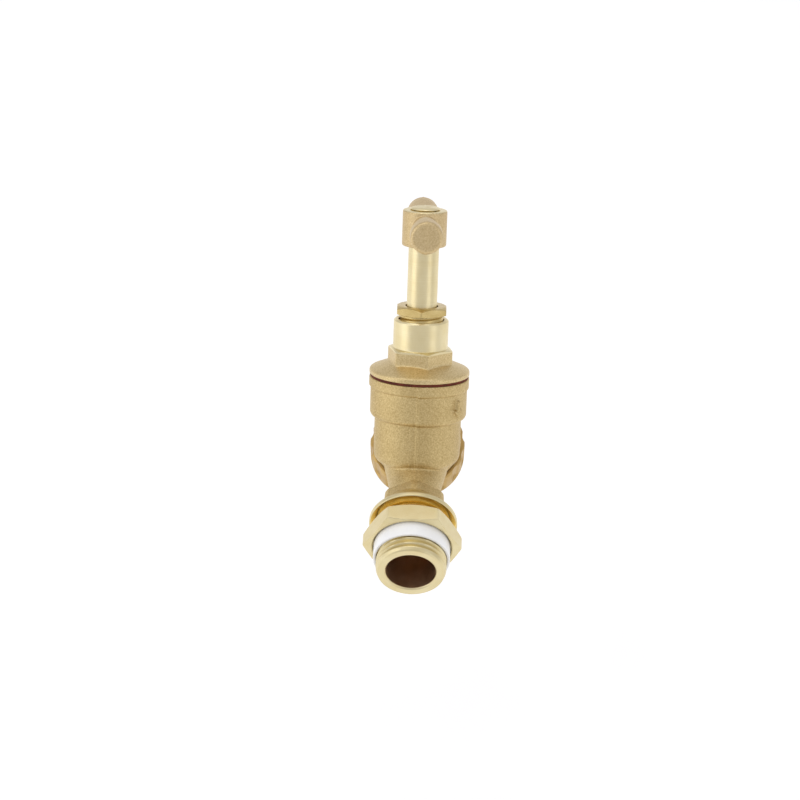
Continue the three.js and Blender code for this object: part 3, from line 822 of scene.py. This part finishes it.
def hose_tail():
    barbs = []
    for i in range(BARB_COUNT):
        foot = HOSE_END - (BARB_COUNT - i) * BARB_PITCH
        barbs += [(BARB_CREST, foot), (BARB_CREST, foot + 0.7), (BARB_ROOT, foot + BARB_PITCH)]
    outline = soften([
        (HOSE_BORE, HOSE_NEAR), (COLLAR_RADIUS, HOSE_NEAR), (COLLAR_RADIUS, HOSE_NEAR + 2),
        (7.7, HOSE_NEAR + 2), (7.7, 36.0), (BARB_ROOT, 37.4), *barbs,
        (HOSE_BORE, HOSE_END), (HOSE_BORE, HOSE_NEAR)], 0.18)[:-1]
    return finished(shell("hose_tail_barbed", outline, OUTLET, 128, closed=True), 35)


# ------------------------------------------------------------------ the assembly

place(body_casting(), "tap_body", "cast_brass", ["cast"], ["body"])
place(inlet_tail(), "tap_body", "turned_brass", ["inlet", "bore", "polish", "cast"], ["body"])
place(outlet_spigot(), "tap_body", "turned_brass", ["outlet"], ["body"])
place(gasket(), "tap_body", "fibre", ["fibre"], ["bonnet_gasket"])
place(bonnet(), "tap_body", "bonnet_brass", ["bonnet", "stem"], ["bonnet"])
place(gland_nut(), "tap_body", "turned_brass", ["gland"], ["gland_nut"])
place(spindle(), "spindle_set", "turned_brass", ["stem"], ["spindle"])
place(crutch_handle(), "spindle_set", "handle_brass", ["handle", "stem"], ["crutch_handle"])
place(backnut(), "tail_nut", "turned_brass", ["inlet"], ["backnut"])
place(tail_washer(), "tail_seal", "white_washer", ["white"], ["tail_washer"])
place(union_nut(), "hose_nut", "turned_brass", ["union"], ["union_nut"])
place(hose_tail(), "hose_end", "turned_brass", ["outlet"], ["hose_tail"])

CARRIED_OVER = {
    "jumper": "stem", "jumper_nut": "stem", "gland_follower": "stem", "packing_washer": "stem",
    "jumper_washer": "rubber", "union_washer": "rubber",
    "packing_ring_1": "graphite", "packing_ring_2": "graphite", "packing_ring_3": "graphite",
}
for node, look in CARRIED_OVER.items():
    mesh = frame["nodes"][node].data
    mesh.materials.clear()
    mesh.materials.append(materials[look])


# ------------------------------------------------------------------ floor, light and camera

FLOOR_DROP = 0.06


def floor():
    half = 3.0
    low = cad_box[0][2] - FLOOR_DROP
    mesh = bpy.data.meshes.new("floor")
    corners = [(-half, -half, low), (half, -half, low), (half, half, low), (-half, half, low)]
    mesh.from_pydata(corners, [], [(0, 1, 2, 3)])
    n = Nodes("pale_floor")
    tone = n.mix(n.noise(0.02, 2.0), rgb(250, 250, 250), rgb(253, 253, 253))
    mesh.materials.append(n.finish(
        base_color=tone, roughness=0.9, emission_color=(1, 1, 1, 1), emission_strength=0.2))
    link("floor", mesh)


def aim(obj, target):
    obj.rotation_euler = (Vector(target) - obj.location).to_track_quat("-Z", "Y").to_euler()


def area_light(name, place_at, target, width, height, power):
    data = bpy.data.lights.new(name, "AREA")
    data.shape = "RECTANGLE"
    data.size, data.size_y = width, height
    data.energy = power
    lamp = bpy.data.objects.new(name, data)
    bpy.context.scene.collection.objects.link(lamp)
    lamp.location = place_at
    aim(lamp, target)


def studio():
    scene = bpy.context.scene
    scene.view_settings.view_transform = "Standard"
    scene.view_settings.look = "None"
    world = scene.world or bpy.data.worlds.new("studio")
    scene.world = world
    world.use_nodes = True
    world.node_tree.nodes["Background"].inputs["Color"].default_value = (0.98, 0.975, 1, 1)
    world.node_tree.nodes["Background"].inputs["Strength"].default_value = 0.7
    centre = (STEM @ Vector((0, 0, 30))) * MM
    area_light("left_softbox", centre + Vector((0.75, 0.2, 0.4)), centre, 0.6, 1.0, 1.5)
    area_light("right_softbox", centre + Vector((-0.7, 0.45, 0.45)), centre, 0.4, 0.9, 0.6)
    area_light("top_softbox", centre + Vector((0.1, -0.35, 0.9)), centre, 0.8, 0.6, 1.3)


VIEW_ELEVATION, VIEW_TURN, VIEW_ROLL = 44.19, 1.64, 1.08
VIEW_DISTANCE, VIEW_RIGHT, VIEW_DOWN = 619, 5.0, 19.65
LENS = 90


def camera():
    """Looks down on the tap from its wall side, along the symmetry plane, rolled a little."""
    elevation, turn, roll = (math.radians(a) for a in (VIEW_ELEVATION, VIEW_TURN, VIEW_ROLL))
    level = math.cos(elevation)
    back = Vector((-math.sin(turn) * level, math.cos(turn) * level, math.sin(elevation)))
    right = Vector((0, 0, 1)).cross(back).normalized()
    up = back.cross(right)
    right, up = right * math.cos(roll) + up * math.sin(roll), up * math.cos(roll) - right * math.sin(roll)
    data = bpy.data.cameras.new("camera")
    data.lens = LENS
    data.sensor_width = 36
    obj = bpy.data.objects.new("camera", data)
    bpy.context.scene.collection.objects.link(obj)
    turn_matrix = Matrix((right, up, back)).transposed().to_4x4()
    eye = (STEM.translation - right * VIEW_RIGHT + up * VIEW_DOWN + back * VIEW_DISTANCE) * MM
    obj.matrix_world = Matrix.Translation(eye) @ turn_matrix
    bpy.context.scene.camera = obj


floor()
studio()
camera()
